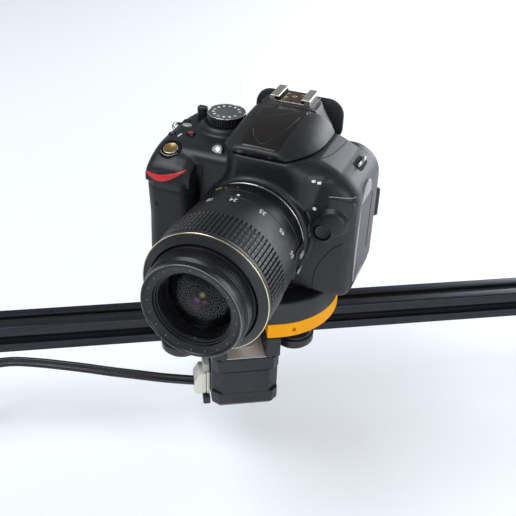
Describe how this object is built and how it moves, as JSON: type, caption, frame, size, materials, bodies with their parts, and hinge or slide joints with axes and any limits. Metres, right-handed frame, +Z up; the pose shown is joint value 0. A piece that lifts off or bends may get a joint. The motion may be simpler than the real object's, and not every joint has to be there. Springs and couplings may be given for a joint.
{
  "type": "motorised camera slider",
  "caption": "Belt-driven camera slider on a slotted rail, with a roller carriage, a geared panning head, stepper motors and a DSLR camera mounted on the head.",
  "frame": {"origin": "floor level under the centre of the footprint box", "axes": "+X along the rail, -Y towards the operator and roughly the way the lens points, +Z up"},
  "size_m": [0.67, 0.1826, 0.2253],
  "materials": {
    "dark_anodised": "dark charcoal anodised extrusion, satin",
    "black_printed": "black moulded plastic, matt",
    "rubber": "black rubber",
    "motor_bell": "cast aluminium motor bell",
    "motor_stack": "black painted steel laminations",
    "motor_rear": "black painted end bell",
    "belt_rubber": "toothed belt",
    "pulley_aluminium": "turned aluminium",
    "black_anodised": "black anodised aluminium plate",
    "steel": "zinc plated steel",
    "wheel_polymer": "black acetal roller",
    "orange_plate": "orange plate, semi gloss",
    "disc_black": "black satin disc",
    "gear_polymer": "moulded gear",
    "connector_white": "cream white nylon",
    "cable_black": "black sheathed twin lead",
    "body_black": "fine textured black polycarbonate",
    "flash_black": "smooth glossy black plastic",
    "shoe_steel": "stainless steel shoe",
    "control_black": "black control",
    "button_champagne": "champagne coloured button",
    "record_red": "red button",
    "mount_steel": "steel lens mount",
    "lens_black": "black lens barrel",
    "lens_rubber": "ribbed rubber grip",
    "glass": "coated front element"
  },
  "bodies": {
    "root": {"rail": "dark_anodised", "bracket_left": "black_printed", "bracket_right": "black_printed", "leg_left": "black_printed", "leg_right": "black_printed", "foot_left_front": "rubber", "foot_left_back": "rubber", "foot_right_front": "rubber", "foot_right_back": "rubber", "slide_motor_bell": "motor_bell", "slide_motor_stack": "motor_stack", "slide_motor_cap": "motor_rear", "belt": "belt_rubber", "control_box": "black_printed"},
    "carriage": {"carriage_plate": "black_anodised", "pan_base": "orange_plate", "base_spacer": "black_printed", "motor_bracket": "black_printed", "pan_motor_bell": "motor_bell", "pan_motor_stack": "motor_stack", "pan_motor_cap": "motor_rear", "pan_motor_connector": "connector_white", "cable_plug": "connector_white", "belt_clamp": "pulley_aluminium", "pan_bearing": "steel", "axle_front_left": "steel", "axle_front_right": "steel", "axle_back_left": "steel", "axle_back_right": "steel", "pan_cable": "cable_black"},
    "drive_pulley": {"drive_pulley": "pulley_aluminium"},
    "idler_pulley": {"idler_pulley": "pulley_aluminium"},
    "wheel_front_left": {"wheel_front_left": "wheel_polymer"},
    "wheel_front_right": {"wheel_front_right": "wheel_polymer"},
    "wheel_back_left": {"wheel_back_left": "wheel_polymer"},
    "wheel_back_right": {"wheel_back_right": "wheel_polymer"},
    "pinion": {"pinion": "steel"},
    "pan_head": {"pan_disc": "disc_black", "pan_gear": "gear_polymer", "pan_pad": "rubber", "camera_screw": "steel", "camera_body": "body_black", "camera_back": "body_black", "hot_shoe": "shoe_steel", "lens_mount": "mount_steel", "lens_barrel": "lens_black", "eyecup": "rubber"},
    "zoom_ring": {"zoom_ring": "lens_rubber"},
    "inner_tube": {"inner_tube": "lens_black", "front_glass": "glass"},
    "focus_ring": {"focus_ring": "lens_black"},
    "mode_dial": {"mode_dial": "control_black"},
    "power_lever": {"power_lever": "control_black"},
    "shutter_button": {"shutter_button": "button_champagne"},
    "record_button": {"record_button": "record_red"},
    "lens_release": {"lens_release": "control_black"},
    "flash_head": {"flash_head": "flash_black"},
    "command_dial": {"command_dial": "control_black"},
    "screen": {"screen_arm": "body_black", "screen_panel": "body_black"}
  },
  "joints": [
    {"name": "carriage_slide", "type": "slide", "parent": "root", "child": "carriage", "axis": [1, 0, 0], "range_m": [-0.2, 0.243], "deforming": ["pan_cable"]},
    {"name": "wheel_front_left_spin", "type": "hinge", "parent": "carriage", "child": "wheel_front_left", "pos_m": [-0.0575, 0.00913, 0.075], "axis": [0, 0, 1], "range_deg": [-1200, 1200]},
    {"name": "wheel_front_right_spin", "type": "hinge", "parent": "carriage", "child": "wheel_front_right", "pos_m": [0.0161, 0.00913, 0.075], "axis": [0, 0, 1], "range_deg": [-1200, 1200]},
    {"name": "wheel_back_left_spin", "type": "hinge", "parent": "carriage", "child": "wheel_back_left", "pos_m": [-0.0575, 0.05353, 0.075], "axis": [0, 0, 1], "range_deg": [-1200, 1200]},
    {"name": "wheel_back_right_spin", "type": "hinge", "parent": "carriage", "child": "wheel_back_right", "pos_m": [0.0161, 0.05353, 0.075], "axis": [0, 0, 1], "range_deg": [-1200, 1200]},
    {"name": "drive_pulley_spin", "type": "hinge", "parent": "root", "child": "drive_pulley", "pos_m": [-0.313, 0.03133, 0.075], "axis": [0, 1, 0], "range_deg": [-2200, 2200]},
    {"name": "idler_pulley_spin", "type": "hinge", "parent": "root", "child": "idler_pulley", "pos_m": [0.313, 0.03133, 0.075], "axis": [0, 1, 0], "range_deg": [-2200, 2200]},
    {"name": "pan", "type": "hinge", "parent": "carriage", "child": "pan_head", "pos_m": [0, 0.02463, 0.1235], "axis": [0, 0, 1], "continuous": true},
    {"name": "pinion_spin", "type": "hinge", "parent": "carriage", "child": "pinion", "pos_m": [-0.0197, -0.00122, 0.113], "axis": [0, 0, 1], "continuous": true},
    {"name": "zoom", "type": "hinge", "parent": "pan_head", "child": "zoom_ring", "pos_m": [-0.035, -0.03599, 0.1635], "axis": [-0.5, -0.866, 0], "range_deg": [-12, 62]},
    {"name": "inner_tube_slide", "type": "slide", "parent": "pan_head", "child": "inner_tube", "axis": [-0.5, -0.866, 0], "range_m": [-0.0095, 0.002]},
    {"name": "focus", "type": "hinge", "parent": "inner_tube", "child": "focus_ring", "pos_m": [-0.055, -0.07063, 0.1635], "axis": [-0.5, -0.866, 0], "range_deg": [-45, 45]},
    {"name": "mode_dial_turn", "type": "hinge", "parent": "pan_head", "child": "mode_dial", "pos_m": [-0.02431, 0.05552, 0.2085], "axis": [0, 0, 1], "continuous": true},
    {"name": "power_lever_turn", "type": "hinge", "parent": "pan_head", "child": "power_lever", "pos_m": [-0.05993, 0.03383, 0.1995], "axis": [0, 0, 1], "range_deg": [0, 35]},
    {"name": "shutter_press", "type": "slide", "parent": "pan_head", "child": "shutter_button", "axis": [0, 0, -1], "range_m": [0, 0.0012], "stiffness_N_per_m": 400, "springref_m": -0.0006},
    {"name": "record_press", "type": "slide", "parent": "pan_head", "child": "record_button", "axis": [0, 0, -1], "range_m": [0, 0.0006], "stiffness_N_per_m": 400, "springref_m": -0.0006},
    {"name": "lens_release_press", "type": "slide", "parent": "pan_head", "child": "lens_release", "axis": [0.5, 0.866, 0], "range_m": [0, 0.0015], "stiffness_N_per_m": 400, "springref_m": -0.0006},
    {"name": "flash_popup", "type": "hinge", "parent": "pan_head", "child": "flash_head", "pos_m": [0.011, 0.04368, 0.2211], "axis": [-0.866, 0.5, 0], "range_deg": [0, 60]},
    {"name": "screen_swing", "type": "hinge", "parent": "pan_head", "child": "screen", "pos_m": [0.06745, 0.02945, 0.1605], "axis": [0, 0, -1], "range_deg": [0, 175]},
    {"name": "command_dial_turn", "type": "hinge", "parent": "pan_head", "child": "command_dial", "pos_m": [-0.03077, 0.07634, 0.1975], "axis": [0, 0, 1], "continuous": true}
  ],
  "couplings": [
    {"joint": "wheel_front_left_spin", "follows": "carriage_slide", "rad_per_m": 81.967},
    {"joint": "wheel_front_right_spin", "follows": "carriage_slide", "rad_per_m": 81.967},
    {"joint": "wheel_back_left_spin", "follows": "carriage_slide", "rad_per_m": -81.967},
    {"joint": "wheel_back_right_spin", "follows": "carriage_slide", "rad_per_m": -81.967},
    {"joint": "drive_pulley_spin", "follows": "carriage_slide", "rad_per_m": 151.52},
    {"joint": "idler_pulley_spin", "follows": "carriage_slide", "rad_per_m": 151.52},
    {"joint": "pinion_spin", "follows": "pan", "ratio": -3.3333},
    {"joint": "inner_tube_slide", "follows": "zoom", "m_per_rad": -0.0086}
  ]
}
